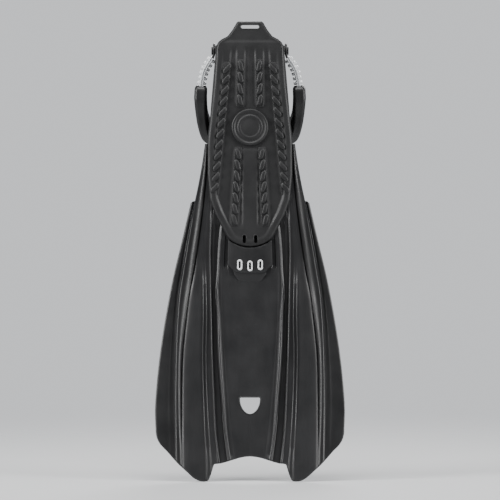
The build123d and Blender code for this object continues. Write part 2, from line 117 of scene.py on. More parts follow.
def moulded(name, colour, rough=0.5, grain=1.0, stipple=1500, sheen=0.0, coat=0.0, scuff=0.35, streak=0.0,
            gloss=0.42, metal=0.0):
    """Moulded rubber or plastic: fine stipple, colour and gloss clouds, flow streaks and paler worn edges."""
    material = bpy.data.materials.new(name)
    material.use_nodes = True
    tree = material.node_tree
    where = shader(tree, "TexCoord").outputs["Object"]

    def noise(scale, detail, source=where):
        sockets = {"Vector": source, "Scale": scale, "Detail": detail}
        return shader(tree, "TexNoise", sockets).outputs["Fac"]

    def remap(source, low, high, from_low=0.3, from_high=0.7):
        limits = {"From Min": from_low, "From Max": from_high, "To Min": low, "To Max": high}
        return shader(tree, "MapRange", {"Value": source, **limits}).outputs["Result"]

    def mix(factor, a, b):
        return shader(tree, "Mix", {"Factor": factor, "A": a, "B": b}, data_type="RGBA").outputs["Result"]

    def bump(height, strength, distance, **more):
        sockets = {"Height": height, "Strength": strength, "Distance": distance, **more}
        return shader(tree, "Bump", sockets).outputs["Normal"]

    def shade(factor, extra=0.0):
        return tuple(min(1, c * factor + extra) for c in colour) + (1,)

    clouds = remap(noise(9, 5), 0, 1)
    tone = mix(clouds, shade(0.86), shade(1.16))
    specks = remap(noise(900, 2), 0, 1, 0.56, 0.72)
    tone = mix(specks, tone, shade(1.45))
    if streak:
        along = shader(tree, "Mapping", {"Vector": where, "Scale": (9, 9, 0.7)}).outputs["Vector"]
        tone = mix(remap(noise(22, 4, along), 0, streak, 0.45, 0.75), tone, shade(1.5))
    edges = remap(shader(tree, "NewGeometry").outputs["Pointiness"], 0, scuff, 0.52, 0.6)
    patches = remap(noise(60, 4), 0.25, 1)
    worn = shader(tree, "Math", {0: edges, 1: patches}, operation="MULTIPLY").outputs["Value"]
    tone = mix(worn, tone, shade(1.5, 0.02))
    fine = bump(noise(stipple, 2), 0.5 * grain, 0.00012)
    fill(tree, tree.nodes["Principled BSDF"], {
        "Base Color": tone,
        "Roughness": remap(noise(34, 6), rough - 0.07, rough + 0.09),
        "Metallic": metal,
        "Sheen Weight": sheen,
        "Sheen Roughness": 0.4,
        "Coat Weight": coat,
        "Coat Roughness": 0.3,
        "IOR": 1.5,
        "Specular IOR Level": gloss,
        "Normal": bump(noise(70, 3), 0.35 * grain, 0.0006, Normal=fine),
    })
    return material


# One material for each of the record's slots
FINISHES = {
    "sole_rubber": dict(colour=(0.0095, 0.0095, 0.0099), rough=0.5, grain=0.9),
    "pocket_rubber": dict(colour=(0.0085, 0.0085, 0.0089), rough=0.52, grain=1.1),
    "rail_rubber": dict(colour=(0.009, 0.009, 0.0094), rough=0.36, grain=0.6, streak=0.25),
    "blade_plastic": dict(colour=(0.0098, 0.0098, 0.0104), rough=0.42, grain=0.25, streak=0.4, coat=0.1),
    "fitting_plastic": dict(colour=(0.011, 0.011, 0.0114), rough=0.4, grain=0.5),
    "strap_rubber": dict(colour=(0.012, 0.012, 0.0124), rough=0.4, grain=0.6),
    "pale_silicone": dict(colour=(0.5, 0.51, 0.52), rough=0.42, grain=0.5, sheen=0.15, scuff=0.15, gloss=0.5),
    "ring_plastic": dict(colour=(0.68, 0.69, 0.7), rough=0.35, grain=0.4, coat=0.2, scuff=0.15, gloss=0.5),
    "pin_steel": dict(colour=(0.55, 0.55, 0.56), rough=0.32, grain=0.3, stipple=2500, scuff=0.1, metal=1),
}
MATERIALS = {name: moulded(name, **finish) for name, finish in FINISHES.items()}

# ---- meshes


def new_object(name, points, faces, sharp=42, host=None):
    """A closed mesh from points in millimetres, with the finish of its CAD node or of its host's."""
    mesh = bpy.data.meshes.new(name)
    mesh.from_pydata(((np.asarray(points) + START) * MM).tolist(), [], faces)
    build = bmesh.new()
    build.from_mesh(mesh)
    bmesh.ops.remove_doubles(build, verts=build.verts, dist=0.00002)
    bmesh.ops.dissolve_degenerate(build, dist=0.00001, edges=build.edges)
    bmesh.ops.recalc_face_normals(build, faces=build.faces)
    build.to_mesh(mesh)
    build.free()
    for polygon in mesh.polygons:
        polygon.use_smooth = True
    mesh.set_sharp_from_angle(angle=radians(sharp))
    obj = bpy.data.objects.new(name, mesh)
    bpy.context.scene.collection.objects.link(obj)
    if host or name in SLOTS:
        slot = SLOTS[host or name]
        mesh.materials.append(MATERIALS[slot])
    return obj


def attach(piece, node):
    """The piece stands for a CAD node and rides on its body."""
    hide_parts(node)
    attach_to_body(piece, BODIES[node])


def add(name, solid, sharp=42):
    attach(new_object(name, *solid, sharp), name)


def add_trim(name, solid, host):
    """A piece without a CAD node of its own; it rides with its host."""
    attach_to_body(new_object(name, *solid, host=host), BODIES[host])


def bend(piece, *nodes):
    """The piece stands for CAD nodes; its lean from the foot to the blade is in its shape, and its place is
    baked into its mesh.
    """
    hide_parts(*nodes)
    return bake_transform(piece)


def closed_sheet(front, back):
    """A closed solid between two grids of points, each rows x columns x 3."""
    rows, cols = front.shape[:2]
    count = rows * cols
    points = np.concatenate([front.reshape(-1, 3), back.reshape(-1, 3)])
    faces = []
    for r in range(rows - 1):
        for c in range(cols - 1):
            a = r * cols + c
            faces.append((a, a + 1, a + cols + 1, a + cols))
            faces.append((count + a, count + a + cols, count + a + cols + 1, count + a + 1))
    rim = list(range(cols)) + [r * cols + cols - 1 for r in range(1, rows)]
    rim += [(rows - 1) * cols + c for c in range(cols - 2, -1, -1)]
    rim += [r * cols for r in range(rows - 2, 0, -1)]
    for a, b in zip(rim, rim[1:] + rim[:1]):
        faces.append((a, count + a, count + b, b))
    return points, faces


def tube_faces(rings, cols, first=0, caps=True, closed=False):
    """Faces of a tube; a closed one bites its own tail."""
    faces = []
    for r in range(rings if closed else rings - 1):
        here, after = r * cols, (r + 1) % rings * cols
        for c in range(cols):
            d = (c + 1) % cols
            faces.append((first + here + c, first + here + d, first + after + d, first + after + c))
    if caps and not closed:
        faces.append(tuple(first + c for c in range(cols)))
        faces.append(tuple(first + (rings - 1) * cols + c for c in range(cols - 1, -1, -1)))
    return faces


def tube(rings, closed=False):
    """A solid through rings that each hold the same number of points."""
    return np.concatenate(rings), tube_faces(len(rings), len(rings[0]), closed=closed)


def join(parts):
    """Puts several (points, faces) solids into one."""
    points, faces, first = [], [], 0
    for part_points, part_faces in parts:
        points.append(part_points)
        faces += [tuple(first + i for i in face) for face in part_faces]
        first += len(part_points)
    return np.concatenate(points), faces


def cut(piece, solids):
    """Cuts solids out of a piece."""
    cutter = new_object("cutter", *join(solids))
    step = piece.modifiers.new("cut", "BOOLEAN")
    step.operation = "DIFFERENCE"
    step.solver = "EXACT"
    step.object = cutter
    bpy.context.view_layer.update()
    mesh = bpy.data.meshes.new_from_object(piece.evaluated_get(bpy.context.evaluated_depsgraph_get()))
    piece.modifiers.clear()
    old = piece.data
    piece.data = mesh
    mesh.name = old.name
    bpy.data.meshes.remove(old)
    bpy.data.objects.remove(cutter)
    mesh.set_sharp_from_angle(angle=radians(42))


# ---- curves and outlines


def smooth(t):
    t = np.clip(t, 0, 1)
    return t * t * (3 - 2 * t)


def bell(t):
    return np.exp(-t ** 2)


def unit(vectors):
    return vectors / np.linalg.norm(vectors, axis=-1, keepdims=True)


def power(values, exponent):
    return np.sign(values) * np.abs(values) ** exponent


def hermite(t, span, low, high, slope_low, slope_high):
    """A cubic between two values with given slopes; t runs from 0 to 1 over the span."""
    start = (1 + 2 * t) * (1 - t) ** 2 * low + t * (1 - t) ** 2 * span * slope_low
    return start + t * t * (3 - 2 * t) * high + t * t * (t - 1) * span * slope_high


def line(*points):
    """A smooth line along the fin, from (x, z) points given from the heel down, as a function x(z)."""
    xs, zs = np.array(points, float)[::-1].T
    slopes = np.gradient(xs, zs)

    def at(z):
        z = np.asarray(z, float)
        i = np.clip(np.searchsorted(zs, z) - 1, 0, len(zs) - 2)
        span = zs[i + 1] - zs[i]
        t = np.clip((z - zs[i]) / span, 0, 1)
        return hermite(t, span, xs[i], xs[i + 1], slopes[i], slopes[i + 1])

    return at


def between(low, high, share):
    """The line that runs at a share of the way between two lines."""
    return lambda z: low(z) + share * (high(z) - low(z))


def shifted(base, amount):
    return lambda z: base(z) + amount


def middle_line(z):
    return 0.0 * np.asarray(z, float)


def lengths(points):
    """Length along a path up to each of its points."""
    return np.concatenate([[0], np.cumsum(np.linalg.norm(np.diff(points, axis=0), axis=1))])


def curve(points, count):
    """A smooth curve through points, by chord length."""
    points = np.asarray(points, float)
    at = lengths(points)
    slopes = np.gradient(points, at, axis=0)
    t = np.linspace(0, at[-1], count)
    i = np.clip(np.searchsorted(at, t) - 1, 0, len(at) - 2)
    span = (at[i + 1] - at[i])[:, None]
    share = (t - at[i])[:, None] / span
    return hermite(share, span, points[i], points[i + 1], slopes[i], slopes[i + 1])


def distance(x, z, outline):
    """Distance of each point from an open outline of straight pieces."""
    p = np.stack([np.abs(x), z], -1)[..., None, :]
    a, b = outline[:-1], outline[1:]
    run = b - a
    share = np.clip(((p - a) * run).sum(-1) / np.maximum((run ** 2).sum(-1), 1e-9), 0, 1)
    return np.sqrt((((p - a) - share[..., None] * run) ** 2).sum(-1)).min(-1)


def rounding(gap, radius, least=0.2):
    """Share of the thickness that is left at a distance from a rounded edge."""
    t = 1 - np.clip(gap / radius, 0, 1)
    return least + (1 - least) * np.sqrt(np.clip(1 - t * t, 0, 1))


def stadium(centre, length, width, along_z=True, count=10):
    """Outline of a slot with round ends, as (x, z) points."""
    half, radius = (length - width) / 2, width / 2
    turn = np.linspace(-pi / 2, pi / 2, count)
    x = np.concatenate([half + radius * np.cos(turn), -half - radius * np.cos(turn)])
    z = np.concatenate([radius * np.sin(turn), -radius * np.sin(turn)])
    if along_z:
        x, z = -z, x
    return np.stack([centre[0] + x, centre[1] + z], -1)


def soft_box(half_x, low, high, radius, count=7):
    """Outline of a rectangle with round corners, as (x, z) points."""
    side, top, bottom = half_x - radius, high - radius, low + radius
    points = []
    for x, z, first in ((side, top, 0), (-side, top, 90), (-side, bottom, 180), (side, bottom, 270)):
        for turn in np.radians(np.linspace(first, first + 90, count)):
            points.append((x + radius * cos(turn), z + radius * sin(turn)))
    return np.array(points)


def box_section(exponent, around):
    """A rounded square from -1 to 1."""
    turn = np.linspace(0, 2 * pi, around, endpoint=False)
    return np.stack([power(np.cos(turn), exponent), power(np.sin(turn), exponent)], -1)


def grow(outline, amount):
    """The outline, moved outwards."""
    outline = np.asarray(outline, float)
    run = unit(np.roll(outline, -1, 0) - np.roll(outline, 1, 0))
    return outline + amount * np.stack([run[:, 1], -run[:, 0]], -1)


def refine(corners, step=2.0):
    """More points along a closed outline, so that it can be rounded and crowned."""
    corners = np.asarray(corners, float)
    result = []
    for a, b in zip(corners, np.roll(corners, -1, 0)):
        count = max(1, int(np.linalg.norm(b - a) / step))
        result += [a + (b - a) * k / count for k in range(count)]
    return np.array(result)


# ---- simple solids; place turns (x, z, height) into points


def on_sole(x, z, height):
    return np.stack([x + 0 * z, -height + 0 * z, z], axis=-1)


def across(centre, side=1):
    """A place for turned solids on an axis that runs across the fin."""
    return lambda y, z, x: np.stack([side * x, centre[1] + y, centre[2] + z], -1)


def prism(outline, place, low, high):
    """A straight prism over an outline of (x, z) points."""
    x, z = np.asarray(outline, float).T
    return tube([place(x, z, np.full_like(x, height)) for height in (low, high)])


def slab(outline, place, low, high, bevel, crown=0.0):
    """A plate over an outline, with a rounded upper edge; crown lifts its middle."""
    rings = []
    for inset, height in ((0, low), (0, high - bevel), (0.3 * bevel, high - 0.3 * bevel), (bevel, high)):
        x, z = grow(outline, -inset).T
        rings.append(place(x, z, np.full_like(x, height)))
    middle = np.asarray(outline, float).mean(0)
    for share in (0.75, 0.5, 0.25, 0.02):
        x, z = (middle + (grow(outline, -bevel) - middle) * share).T
        rings.append(place(x, z, np.full_like(x, high + crown * (1 - share ** 2))))
    return tube(rings)


def lathe(profile, place, around=72):
    """A turned solid from (radius, height) points."""
    x, z = box_section(1, around).T
    return tube([place(r * x, r * z, np.full(around, h)) for r, h in profile])


def ring(outer, inner, place, low, high, around=9, skirt=0.8):
    """A rounded ring between two outlines that have the same number of points."""
    levels = [(share, low + (high - low) * sin(pi * share) ** 0.6 if 0 < share < 1 else low)
              for share in np.linspace(0, 1, around)]
    rings = []
    for share, height in levels + [(1, low - skirt), (0, low - skirt)]:
        edge = outer + (inner - outer) * share
        rings.append(place(edge[:, 0], edge[:, 1], np.full(len(edge), height)))
    return tube(rings, closed=True)


def welt(path, radius, squeeze, around=10):
    """A round bead along a closed path of points; squeeze flattens it."""
    run = unit(np.roll(path, -1, 0) - np.roll(path, 1, 0))
    sideways = unit(np.cross(run, (0, 1, 0)))
    up = np.cross(sideways, run)
    u, v = box_section(1, around).T[..., None]
    rings = [spot + radius * (u * a + squeeze * v * b) for spot, a, b in zip(path, sideways, up)]
    return tube(rings, closed=True)


def pebble(centre, axes, halves, exponent=0.4, around=20, along=11):
    """A rounded box."""
    u, v = box_section(exponent, around).T
    rings = []
    for angle in np.linspace(-pi / 2, pi / 2, along):
        size = max(0.02, cos(angle)) ** exponent
        w = np.full(around, power(np.sin(angle), exponent))
        local = np.array(halves) * np.stack([u * size, v * size, w], -1)
        rings.append(centre + local @ np.asarray(axes, float))
    return tube(rings)


# ---- long lines of the blade, as (x, z) from the heel down
FAINT = line(
    (33, 325), (34.8, 305), (35.8, 285), (36.4, 262), (36.4, 246), (35.5, 201), (33, 163), (27.8, 100),
    (24, 62), (19.5, 30),
)
STRONG = line(
    (34.5, 325), (36.8, 305), (38.2, 285), (39.3, 262), (40.6, 246), (39.4, 201), (37.9, 163), (33.3, 100),
    (30.2, 62), (25.4, 24),
)
MEDIUM = line(
    (48.4, 342), (49.6, 320), (50.6, 290), (50, 246), (48.9, 201), (48, 163), (45.5, 100), (43.6, 62),
    (38.9, 20),
)
THIN_1 = line(
    (51, 353), (53.4, 330), (55.2, 300), (55.2, 246), (54.6, 201), (55.4, 163), (53.8, 100), (51.6, 62),
    (48.4, 20),
)
THIN_2 = line(
    (52.4, 365), (56.4, 330), (59, 300), (59.2, 246), (58.9, 201), (59.5, 163), (58.2, 100), (56.6, 62),
    (54, 20),
)
GROOVE = line(
    (53.4, 425), (54.4, 385), (57.6, 353), (63, 309), (70.6, 262), (75.4, 239), (80.6, 201), (84.6, 163),
    (86, 100), (85.2, 20),
)
CREST = line(
    (54.8, 425), (61.4, 385), (68, 353), (75.9, 309), (83.4, 262), (87, 239), (90.2, 201), (91.6, 163),
    (92, 100), (90, 30),
)
RAIL_OUT = line(
    (57, 424), (61.6, 393), (67.4, 363), (69.6, 353), (78.4, 309), (86.2, 262), (89.8, 239), (93, 201),
    (94.8, 163), (95.6, 100), (93.6, 30),
)
EDGE = line(
    (74.6, 351), (86, 302), (96.8, 257), (105.6, 211), (112.6, 166), (117.6, 120), (119.4, 90), (118.3, 60),
)

# Heights of the raised rows over the blade, and of the rails, as (height, z)
STRONG_HEIGHT = line(
    (0.5, 325), (0.7, 270), (1.0, 250), (2.9, 236), (3.1, 225), (3.1, 100), (2.0, 50), (0.8, 26),
)
STRONG_HALF = line((0.7, 325), (0.7, 262), (0.8, 250), (1.9, 230), (1.9, 26))
MEDIUM_HEIGHT = line((0.2, 342), (1.1, 325), (1.8, 300), (1.9, 120), (1.2, 50), (0.5, 24))
THIN_HEIGHT = line((0, 275), (0.25, 262), (0.95, 240), (0.95, 70), (0.5, 30), (0.3, 5))
CREST_HEIGHT = line(
    (1.4, 425), (3.0, 400), (4.2, 370), (4.8, 330), (5.2, 246), (5.2, 163), (4.4, 100), (3.4, 60),
    (2.5, 34),
)
RAIL_EDGE = shifted(middle_line, 1.2)
RAIL_DEPTH = line((3, 425), (8, 405), (11, 380), (11.4, 246), (8.6, 163), (5.6, 80), (2.6, 30))

# Lower edge of the blade, from the middle out: arc, notch, tip of the lobe, slanted edge, outer corner
LOW_X, LOW_Z = np.array([
    (0, 31), (7, 30.4), (14, 29), (21.5, 26.6), (30, 24), (36, 22.3), (45, 21.5),
    (45.6, 19.5), (47, 14.6), (48.6, 9.5), (50, 6), (51, 3.2), (52.2, 1.2), (54, 0.3),
    (58, 0), (62, 0.2), (66, 1.4), (69.5, 3.4), (73.4, 6.4), (81.6, 14), (89.8, 21.5), (96.8, 29),
    (103.7, 37), (109, 42), (112.5, 45.8), (115, 49.6), (117, 54), (118.3, 60),
]).T
# Half the outline of the sole: toes, ball of the foot, heel, heel tab
TOES = [
    (0.1, 293), (5, 293.2), (13, 294.9), (20, 297.6), (24.6, 300.4), (29.5, 306.5), (35, 317), (44, 334),
    (51, 353), (54.2, 385), (54, 425),
]
HEEL = [
    (52.8, 439), (51, 454), (49.4, 469), (47.6, 485), (46, 500), (45, 515), (44, 530), (42.9, 545),
    (42.2, 549),
]
TAB = [
    (40, 553), (36, 556.5), (31.6, 558.6), (28.2, 560.5), (22.4, 568), (16.8, 577.5), (15.6, 578.6),
    (14, 579),
]
SOLE_X, SOLE_Z = np.array(TOES + HEEL + TAB).T


def low_edge(x):
    return np.interp(x, LOW_X, LOW_Z)


def web_top(x):
    """Height at which the blade ends behind the sole, beside and below the toes."""
    return np.interp(abs(x), SOLE_X[:len(TOES)], SOLE_Z[:len(TOES)]) + 2


def panel_top(x):
    """The middle of the panel starts behind the power plate."""
    return 280 if abs(x) < 26.5 else web_top(x)


def flap_top(x):
    """Upper end of the edge flaps, with a rounded outer corner."""
    return 351.5 - 2.2 * np.clip((x - 70) / 4.6, 0, 1) ** 3


EDGE_Z = np.linspace(351, 60, 120)
CORNER_X = np.linspace(LOW_X[-1], 0, 400)
FREE_EDGE = np.concatenate([
    [(69.8, 352)],
    np.stack([EDGE(EDGE_Z), EDGE_Z], 1),
    np.stack([CORNER_X, low_edge(CORNER_X)], 1),
])

# ---- the leaning blade: strips made of columns of (x line, front height, back depth)
CURVE_Z = np.linspace(-5, 600, 1211)
CURVE_ANGLE = LEAN * smooth((HINGE_Z + LEAN_SPAN / 2 - CURVE_Z) / LEAN_SPAN)
CURVE_TAN = np.tan(CURVE_ANGLE)
CURVE_RISE = np.concatenate([[0], np.cumsum((CURVE_TAN[1:] + CURVE_TAN[:-1]) / 2 * np.diff(CURVE_Z))])
CURVE_Y = HINGE_Y + CURVE_RISE - CURVE_RISE[-1]


def on_blade(x, z, height):
    """Points on the blade: height is measured from its middle plane towards the sole side."""
    angle = np.interp(z, CURVE_Z, CURVE_ANGLE)
    y = np.interp(z, CURVE_Z, CURVE_Y) - height * np.cos(angle)
    return np.stack([x + 0 * z, y, z + height * np.sin(angle)], axis=-1)


def value_at(item, z):
    """Some heights and depths are plain numbers, others change along the fin."""
    return item(z) if callable(item) else np.full_like(z, float(item))


def within(low, high, soft):
    """1 between two heights, fading to 0 at both."""
    return lambda z: smooth((z - low) / soft) * smooth((high - z) / soft)


def lift(z):
    """Front of the blade over its middle plane; the web beside the toes lies deeper."""
    return 2.2 - 2.4 * smooth((np.asarray(z, float) - 228) / 62)


def over(amount):
    """A front height at an amount over the blade's front."""
    return lambda z: lift(z) + value_at(amount, z)


def flat(low, high, shares, height, depth):
    return [(between(low, high, share), height, depth) for share in shares]


def seam(x_line, height, depth, inward):
    """Columns of a strip's long edge, rounded where it meets its neighbour; inward is +1 or -1."""
    columns = []
    for gap, loss in ((-0.12, 0.7), (0.25, 0.3), (0.8, 0.07)):
        columns.append((
            shifted(x_line, inward * gap),
            lambda z, k=loss: value_at(height, z) - k,
            lambda z, k=loss: value_at(depth, z) - 0.5 * k,
        ))
    return columns if inward > 0 else columns[::-1]


def rib(x_line, base, height, half, depth, steps=11):
    """Columns of a rounded rib that stands on the base height."""
    columns = []
    for place in np.linspace(-1, 1, steps):
        bump = cos(place * pi / 2) ** 0.9 if abs(place) < 0.99 else 0.0
        columns.append((
            lambda z, k=place: x_line(z) + k * value_at(half, z),
            lambda z, k=bump: value_at(base, z) + k * value_at(height, z),
            depth,
        ))
    return columns


def crossing(x_line, end):
    """Height at which a line meets the end of the blade, itself a height for each x."""
    z = 200.0
    for _ in range(14):
        z = 0.5 * z + 0.5 * end(abs(x_line(z)))
    return z


def blade_grid(columns, top, side=1, step=2.4):
    """Front and back grids of a strip of the blade, from its top down to the blade's lower edge."""
    ends = np.array([0, 0.3, 0.8, 1.6, 2.8])
    spans = [(crossing(x_line, top), crossing(x_line, low_edge)) for x_line, _, _ in columns]
    count = int(max(a - b for a, b in spans) / step)
    front, back = [], []
    for (x_line, height, depth), (z_top, z_low) in zip(columns, spans):
        inner = np.linspace(z_top - ends[-1], z_low + ends[-1], count)
        z = np.concatenate([z_top - ends[:-1], inner, z_low + ends[:-1][::-1]])
        x = x_line(z)
        share = rounding(distance(x, z, FREE_EDGE), 1.5)
        f, b = value_at(height, z), -value_at(depth, z)
        middle, half = (f + b) / 2, (f - b) / 2 * share
        front.append(on_blade(side * x, z, middle + half))
        back.append(on_blade(side * x, z, middle - half))
    return np.stack(front, axis=1), np.stack(back, axis=1)


def strip(kind, side, columns, top, *more_nodes):
    """A strip on one side of the blade; it stands for its own CAD node and for any others that it covers."""
    name = f"{kind}_{side}"
    bend(new_object(name, *closed_sheet(*blade_grid(columns, top, SIDES[side]))), name, *more_nodes)


# D-shaped water port, flat above and round below
PORT_HALF = np.array([
    (11.6, 104.2), (12.4, 103.6), (12.7, 102), (12.3, 98), (11.2, 94), (9.4, 90.2), (7.0, 87), (4.4, 84.9),
    (2.2, 83.9), (0, 83.6),
])
PORT = np.concatenate([PORT_HALF, (PORT_HALF[:-1] * (-1, 1))[::-1]])


def blade_panel():
    slot_floor = over(lambda z: -1.8 * within(261, 314, 12)(z))
    half = flat(middle_line, FAINT, (0.03, 0.06, 0.14, 0.24, 0.34, 0.44, 0.54, 0.64, 0.7, 0.755), over(0),
                BACK)
    half += flat(middle_line, FAINT, (0.785, 0.81, 0.86, 0.885), slot_floor, BACK)
    half += flat(middle_line, FAINT, (0.91, 0.94), over(0), BACK)
    half += [(shifted(FAINT, -0.9), over(0), BACK), (shifted(FAINT, -0.2), over(0.3), BACK)]
    half += rib(STRONG, over(0.35), STRONG_HEIGHT, STRONG_HALF, BACK)
    half += seam(shifted(STRONG, 2.75), over(-0.2), BACK, -1)
    mirrored = [(between(middle_line, x_line, -1), height, depth) for x_line, height, depth in half[::-1]]
    crease = (middle_line, over(lambda z: -0.2 * within(34, 82, 8)(z)), BACK)
    panel = new_object("blade_panel", *closed_sheet(*blade_grid(mirrored + [crease] + half, panel_top)))
    cut(panel, [prism(PORT, on_blade, -8, 8)])
    rim_z = PORT[:, 1] + np.where(PORT[:, 1] > 100, 0.7, -0.6)
    bead = welt(on_blade(PORT[:, 0] * 1.05, rim_z, np.full(len(PORT), 2.25)), 0.8, 0.8)
    bend(panel, "blade_panel")
    add_trim("port_rim", bead, "blade_panel")


def flex_channel(side):
    """A soft channel; the right one also covers the blade's root, the left one its bending zone."""
    floor = over(lambda z: -1.1 * smooth((330 - z) / 8) - 0.5 * within(236, 324, 7)(z))
    wall = over(lambda z: -1.1 * smooth((247 - z) / 12))
    depth = lambda z: 1.2 + 1.1 * smooth((z - 236) / 14)
    low, high = shifted(STRONG, 2.8), shifted(MEDIUM, -1.7)
    columns = seam(low, floor, depth, 1)
    columns += flat(low, high, (0.2, 0.32, 0.44, 0.55), floor, depth)
    columns += flat(low, high, (0.62, 0.7, 0.8), wall, depth)
    columns += seam(high, wall, depth, -1)
    strip("flex_channel", side, columns, web_top, "blade_root" if side == "right" else "flex_strip")


def groove_height(z):
    return lift(z) - 1.2


def side_panel(side):
    """A stiff panel with one medium and two thin raised rows, domed out towards the rail."""
    inner = shifted(THIN_2, 0.9)
    columns = seam(shifted(MEDIUM, -1.65), over(0), BACK, 1)[:2]
    columns += rib(MEDIUM, over(0), MEDIUM_HEIGHT, 1.25, BACK)
    columns += flat(shifted(MEDIUM, 1.3), shifted(THIN_1, -0.9), (0.25, 0.5, 0.72, 0.88), over(-0.1), BACK)
    columns += rib(THIN_1, over(-0.1), THIN_HEIGHT, 0.85, BACK, 7)
    columns += flat(shifted(THIN_1, 0.9), shifted(THIN_2, -0.9), (0.3, 0.6), over(-0.25), BACK)
    columns += rib(THIN_2, over(-0.1), THIN_HEIGHT, 0.85, BACK, 7)
    for share, amount in ((0.04, -0.1), (0.1, 0.0), (0.2, 0.3), (0.32, 0.6), (0.45, 0.8), (0.58, 0.85),
                          (0.7, 0.7), (0.8, 0.4), (0.88, 0.0), (0.94, -0.5)):
        dome = lambda z, k=amount: k * smooth((300 - z) / 60)
        columns.append((between(inner, GROOVE, share), over(dome), 2.0))
    columns += seam(GROOVE, groove_height, 2.0, -1)
    strip("side_panel", side, columns, web_top)


# Rail and flap sections: (share of the width, height, depth); the rail's are shares of its crest and depth
RAIL_INNER_FACE = (
    (-0.01, -0.25, 0.2), (0.08, -0.1, 0.72), (0.18, 0.12, 0.93), (0.32, 0.45, 1.0), (0.5, 0.74, 1.0),
    (0.7, 0.92, 1.0), (0.88, 0.99, 1.0), (1.0, 1.0, 0.99),
)
RAIL_OUTER_FACE = ((0.25, 0.93, 0.96), (0.5, 0.75, 0.88), (0.75, 0.42, 0.72), (0.92, 0.1, 0.5),
                   (1.0, -0.15, 0.22))
FLAP_SECTION = (
    (0.0, 0.8, 1.2), (0.05, 0.6, 1.4), (0.14, 0.55, 1.4), (0.22, 0.7, 1.4), (0.28, 1.25, 1.4),
    (0.34, 1.6, 1.4), (0.45, 1.75, 1.4), (0.6, 1.7, 1.3), (0.75, 1.5, 1.2), (0.87, 1.3, 1.1),
    (0.95, 1.1, 1.0), (1.0, 1.0, 0.9),
)


def side_rail(side):
    columns = []
    for low, high, face in ((GROOVE, CREST, RAIL_INNER_FACE), (CREST, RAIL_OUT, RAIL_OUTER_FACE)):
        for share, rise, deep in face:
            height, depth = between(groove_height, CREST_HEIGHT, rise), between(RAIL_EDGE, RAIL_DEPTH, deep)
            columns.append((between(low, high, share), height, depth))
    strip("side_rail", side, columns, lambda x: 424.0, f"rail_root_{side}")


def edge_flap(side):
    columns = [(between(RAIL_OUT, EDGE, share), height, deep) for share, height, deep in FLAP_SECTION]
    strip("edge_flap", side, columns, flap_top, f"flap_root_{side}")


blade_panel()
for side in SIDES:
    flex_channel(side)
    side_panel(side)
    side_rail(side)
    edge_flap(side)

# ---- sole
# Rows of strands: heel end, toe end, number of strands, slant in degrees
TREADS = {
    "tread_inner_heel": ((11.6, 525.4), (12.6, 476.2), 4, 64),
    "tread_inner_toe": ((14.8, 414), (19.8, 325), 7, 62),
    "tread_outer": ((28.8, 522), (44.6, 365), 12, -60),
}
HANG_SLOT = stadium((0, HANG_SLOT_Z), 23, 4.5, along_z=False)
DRAINS = [stadium((x, 303.4), 10, 4) for x in (7.2, -7.2)]


def row_gap(x, z, start, end):
    """Distance of points from the middle of a tread row."""
    (x0, z0), (x1, z1) = start, end
    share = np.clip((z - z0) / (z1 - z0), 0, 1)
    along = np.maximum(0, np.maximum(z - z0, z1 - z))
    return np.hypot(np.abs(x) - (x0 + share * (x1 - x0)), along)


def sole_height(x, z, gap):
    """Height of the sole's surface over the sole plane; gap is the distance from the outline."""
    width = np.abs(x)
    field = smooth((gap - 8.5) / 3) * smooth((HEEL_Z - z) / 12) * smooth((z - 316) / 12)
    band = np.sin(pi * np.clip(gap / 10.4, 0, 1)) ** 0.8 * smooth((HEEL_Z - z) / 16)
    height = band - 1.5 * field
    toe_strip = smooth((11.2 - width) / 3) * smooth((422 - z) / 8) * smooth((z - 308) / 10)
    heel_strip = 0.3 * smooth((3.6 - width) / 2.6) * smooth((z - 466) / 5)
    height += 1.6 * np.maximum(toe_strip, heel_strip) * field
    height += 0.5 * smooth((12 - width) / 12) * smooth((330 - z) / 30)
    for start, end, _, _ in TREADS.values():
        rise = 0.9 + 0.6 * smooth((z - 518) / 16)
        start = (start[0], HEEL_Z) if start[1] > 500 else start  # the heel rows run on to the heel tab
        height += rise * smooth((6.6 - row_gap(x, z, start, end)) / 2.4) * field
    tab = smooth((z - 551) / 5)
    bead = 0.7 * bell((gap - 2.4) / 1.4) * smooth((z - 536) / 10)
    return height * (1 - tab) - 0.9 * tab + bead


def sole_plate():
    rows = np.concatenate([TOE_Z + np.array([0, 0.1, 0.5, 1.2, 2.3, 3.8]), np.arange(298.5, 538, 1.7),
                           np.arange(538, 577.4, 0.9), [577.6, 578.2, 578.7, TIP_TO_HEEL]])
    near = np.array([0.0, 0.35, 0.8, 1.4, 2.2, 3.2]) / 50
    shares = np.concatenate([-1 + near, np.linspace(-0.91, 0.91, 61), (1 - near)[::-1]])
    z, share = np.meshgrid(rows, shares, indexing="ij")
    x = np.interp(z, SOLE_Z, SOLE_X) * share
    edge_z = np.linspace(TOE_Z, TIP_TO_HEEL, 500)
    edge = np.stack([np.interp(edge_z, SOLE_Z, SOLE_X), edge_z], 1)
    gap = distance(x, z, np.concatenate([[(0, TOE_Z)], edge, [(0, TIP_TO_HEEL)]]))
    roll = rounding(gap, 3.4, 0.0)
    front_y = -sole_height(x, z, gap) * roll + 3.4 * (1 - roll)
    back_y = np.maximum(4 + rounding(gap, 1.2, 0.0), front_y + 0.2)
    sheet = closed_sheet(np.stack([x, front_y, z], -1), np.stack([x, back_y, z], -1))
    sole = new_object("sole_plate", *sheet)
    cut(sole, [prism(outline, on_sole, -9, 9) for outline in (HANG_SLOT, *DRAINS)])
    attach(sole, "sole_plate")
    beads = [(HANG_SLOT, 0.7, -0.9)] + [(outline, 0.55, 0.25) for outline in DRAINS]
    rims = [welt(on_sole(*grow(outline, 0.6).T, np.full(len(outline), height)), radius, 0.7)
            for outline, radius, height in beads]
    add_trim("sole_hole_rims", join(rims), "sole_plate")


